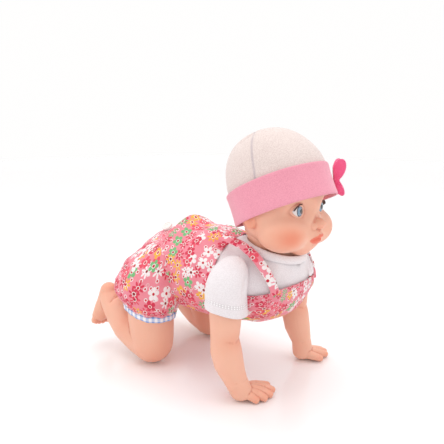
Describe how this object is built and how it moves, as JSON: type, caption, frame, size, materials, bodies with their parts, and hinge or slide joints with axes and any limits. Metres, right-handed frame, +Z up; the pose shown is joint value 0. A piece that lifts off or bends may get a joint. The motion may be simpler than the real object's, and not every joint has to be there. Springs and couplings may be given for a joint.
{
  "type": "crawling baby doll",
  "caption": "Soft vinyl baby doll on hands and knees in a knitted hat, white shirt and flowered romper, with limbs that swing in a crawl and a head that turns.",
  "frame": {"origin": "on the floor under the middle of the doll as it rests on knees and palms", "axes": "+Z up; the doll faces -Y; its left side is +X"},
  "size_m": [0.1586, 0.2592, 0.243],
  "materials": {
    "vinyl": "soft satin vinyl skin",
    "eye": "gloss white with painted blue-grey iris",
    "shell": "fine matt moulding",
    "dark_plastic": "matt moulding",
    "gear_plastic": "smooth acetal",
    "steel": "plated",
    "motor_can": "drawn can",
    "cell_wrap": "printed sleeve, no lettering",
    "board": "solder mask",
    "component": "moulded packages",
    "cone": "pressed paper",
    "shirt": "white jersey knit",
    "romper": "woven cotton, small flower print",
    "gingham": "blue and white check binding",
    "hat": "off-white fine jersey",
    "cuff": "pink fine jersey",
    "felt": "hot pink felt",
    "button": "white cast resin"
  },
  "bodies": {
    "torso": {"torso_belly_shell": "shell", "torso_back_shell": "shell", "battery_door": "shell", "door_screw": "steel", "shell_screws": "steel", "neck_collar": "shell", "battery_box": "shell", "batteries": "cell_wrap", "battery_contacts": "steel", "switch_body": "dark_plastic", "circuit_board": "board", "board_components": "component", "speaker_frame": "dark_plastic", "speaker_cone": "cone", "speaker_magnet": "steel", "motor": "motor_can", "gearbox_left_plate": "dark_plastic", "gearbox_right_plate": "dark_plastic", "gearbox_pins": "steel", "shirt_body": "shirt", "shirt_neckband": "shirt", "romper_seat": "romper", "romper_bib": "romper", "left_strap": "romper", "right_strap": "romper", "back_buttons": "button"},
    "head": {"head": "vinyl", "left_eye": "eye", "right_eye": "eye", "neck_plug": "shell", "hat_crown": "hat", "hat_cuff": "cuff", "hat_butterfly": "felt"},
    "left_arm": {"left_arm": "vinyl", "left_shoulder_hub": "shell", "left_shoulder_lever": "gear_plastic", "left_sleeve": "shirt"},
    "right_arm": {"right_arm": "vinyl", "right_shoulder_hub": "shell", "right_shoulder_lever": "gear_plastic", "right_sleeve": "shirt"},
    "left_leg": {"left_leg": "vinyl", "left_hip_hub": "shell", "left_hip_lever": "gear_plastic", "left_romper_leg": "romper", "left_leg_binding": "gingham"},
    "right_leg": {"right_leg": "vinyl", "right_hip_hub": "shell", "right_hip_lever": "gear_plastic", "right_romper_leg": "romper", "right_leg_binding": "gingham"},
    "left_link": {"left_link_bar": "gear_plastic"},
    "right_link": {"right_link_bar": "gear_plastic"},
    "crank": {"crank_shaft": "steel", "crank_discs": "gear_plastic", "crank_gear": "gear_plastic"},
    "second_gear": {"second_gear": "gear_plastic"},
    "first_gear": {"first_gear": "gear_plastic"},
    "pinion": {"motor_pinion": "steel"},
    "switch": {"switch_slider": "dark_plastic"}
  },
  "joints": [
    {"name": "head_turn", "type": "hinge", "parent": "torso", "child": "head", "pos_m": [0, -0.076, 0.131], "axis": [0, -0.2588, 0.9659], "range_deg": [-30, 30]},
    {"name": "left_hip", "type": "hinge", "parent": "torso", "child": "left_leg", "pos_m": [0.026, 0.048, 0.088], "axis": [1, 0, 0], "range_deg": [-12, 12]},
    {"name": "right_hip", "type": "hinge", "parent": "torso", "child": "right_leg", "pos_m": [-0.026, 0.048, 0.088], "axis": [1, 0, 0], "range_deg": [-12, 12]},
    {"name": "left_shoulder", "type": "hinge", "parent": "torso", "child": "left_arm", "pos_m": [0.0435, -0.062, 0.11], "axis": [1, 0, 0], "range_deg": [-12, 12]},
    {"name": "right_shoulder", "type": "hinge", "parent": "torso", "child": "right_arm", "pos_m": [-0.0435, -0.062, 0.11], "axis": [1, 0, 0], "range_deg": [-12, 12]},
    {"name": "left_link_pivot", "type": "hinge", "parent": "left_leg", "child": "left_link", "pos_m": [0.02, 0.048, 0.101], "axis": [1, 0, 0], "range_deg": [-12, 12]},
    {"name": "right_link_pivot", "type": "hinge", "parent": "right_leg", "child": "right_link", "pos_m": [-0.02, 0.048, 0.101], "axis": [1, 0, 0], "range_deg": [-12, 12]},
    {"name": "crank_spin", "type": "hinge", "parent": "torso", "child": "crank", "pos_m": [0, 0.022, 0.088], "axis": [1, 0, 0], "continuous": true},
    {"name": "second_gear_spin", "type": "hinge", "parent": "torso", "child": "second_gear", "pos_m": [0, 0.00967, 0.08538], "axis": [1, 0, 0], "continuous": true},
    {"name": "first_gear_spin", "type": "hinge", "parent": "torso", "child": "first_gear", "pos_m": [0, -0.00265, 0.08276], "axis": [1, 0, 0], "continuous": true},
    {"name": "motor_spin", "type": "hinge", "parent": "torso", "child": "pinion", "pos_m": [0, -0.01497, 0.08014], "axis": [1, 0, 0], "continuous": true},
    {"name": "power_switch", "type": "slide", "parent": "torso", "child": "switch", "axis": [0, 1, 0], "range_m": [0, 0.003]}
  ],
  "couplings": [
    {"joint": "right_hip", "follows": "left_hip", "ratio": -1},
    {"joint": "left_shoulder", "follows": "left_hip", "ratio": -1},
    {"joint": "right_shoulder", "follows": "left_hip", "ratio": 1},
    {"joint": "left_link_pivot", "follows": "left_hip", "ratio": -1},
    {"joint": "right_link_pivot", "follows": "left_hip", "ratio": 1},
    {"joint": "second_gear_spin", "follows": "crank_spin", "ratio": -3},
    {"joint": "first_gear_spin", "follows": "crank_spin", "ratio": 9},
    {"joint": "motor_spin", "follows": "crank_spin", "ratio": -27}
  ]
}
